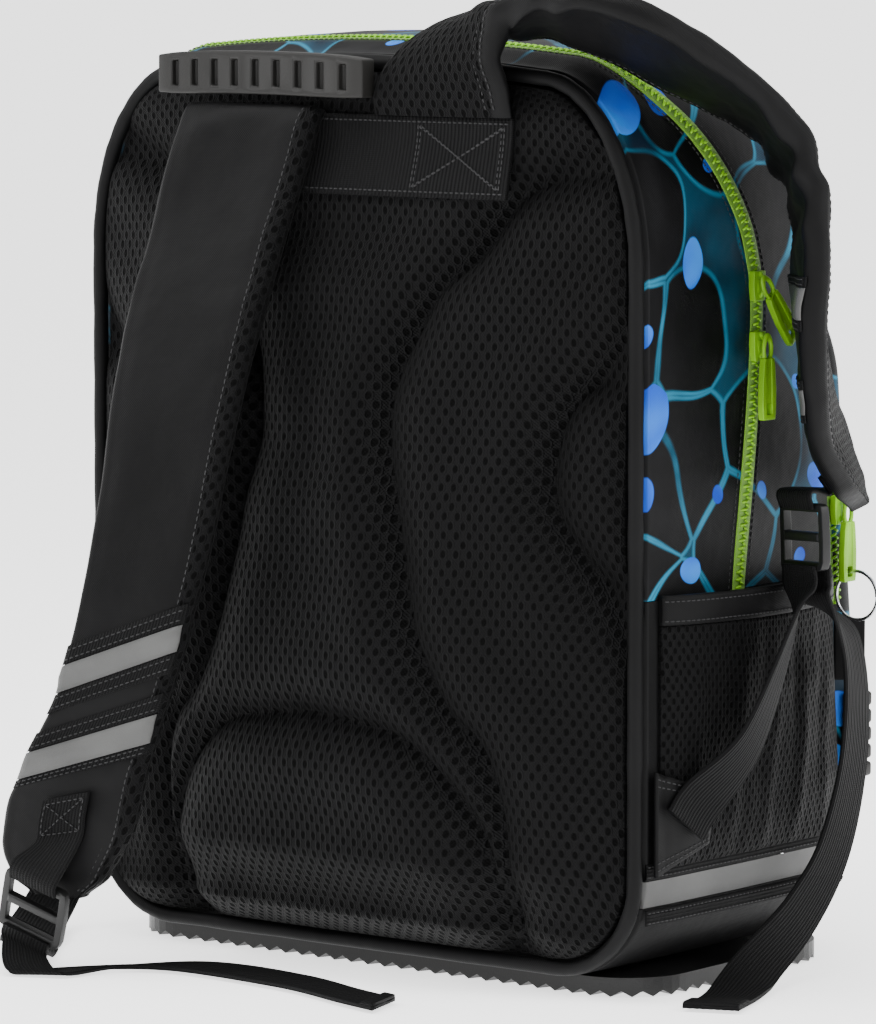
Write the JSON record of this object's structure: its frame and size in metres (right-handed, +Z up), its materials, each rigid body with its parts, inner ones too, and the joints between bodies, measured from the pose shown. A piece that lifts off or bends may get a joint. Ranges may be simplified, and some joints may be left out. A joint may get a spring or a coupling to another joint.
{
  "type": "school ransel",
  "caption": "Upright school rucksack with a padded mesh back, padded shoulder straps, a moulded haul grip, a zipped main compartment and front pocket, side mesh pockets and a ribbed foot.",
  "frame": {"origin": "middle of the ribbed foot's flat underside", "axes": "+Z up, -Y out of the padded back towards the wearer, +X to the right seen from the wearer's side"},
  "size_m": [0.396, 0.2985, 0.4407],
  "materials": {
    "black_cloth": "woven, matt",
    "satin_cloth": "smooth coated weave, low sheen",
    "mesh_cloth": "open spacer mesh",
    "print_cloth": "printed weave, low sheen",
    "lime_tape": "woven zip tape and coil",
    "lime_plastic": "moulded, satin",
    "reflective_tape": "retroreflective tape",
    "dark_plastic": "moulded, satin",
    "grip_rubber": "moulded, matt",
    "webbing": "ribbed webbing",
    "steel": "polished wire"
  },
  "bodies": {
    "root": {"body_shell": "print_cloth", "main_zip_tape": "lime_tape", "boot": "black_cloth", "reflective_band": "reflective_tape", "front_pocket": "print_cloth", "front_zip_tape": "lime_tape", "base_plate": "dark_plastic", "back_panel": "mesh_cloth", "panel_piping": "black_cloth", "side_pocket_left": "mesh_cloth", "pocket_hem_left": "webbing", "wing_left": "black_cloth", "side_pocket_right": "mesh_cloth", "pocket_hem_right": "webbing", "wing_right": "black_cloth", "ladder_lock_left": "dark_plastic", "ladder_lock_right": "dark_plastic", "anchor_band": "webbing", "strap_left": "satin_cloth", "strap_right": "satin_cloth", "stripe_left_upper": "reflective_tape", "stripe_left_lower": "reflective_tape", "stripe_right_upper": "reflective_tape", "stripe_right_lower": "reflective_tape", "handle_grip": "grip_rubber", "handle_leg_left": "webbing", "handle_leg_right": "webbing", "lower_webbing_left": "webbing", "tail_left": "webbing", "lower_webbing_right": "webbing", "tail_right": "webbing", "lock_webbing_left": "webbing", "lock_webbing_right": "webbing", "lower_slider": "lime_plastic", "lower_puller": "lime_plastic", "upper_slider": "lime_plastic", "upper_puller": "lime_plastic", "front_slider": "lime_plastic", "front_puller": "lime_plastic", "key_ring": "steel", "side_tag": "black_cloth", "fob": "dark_plastic"}
  },
  "joints": []
}
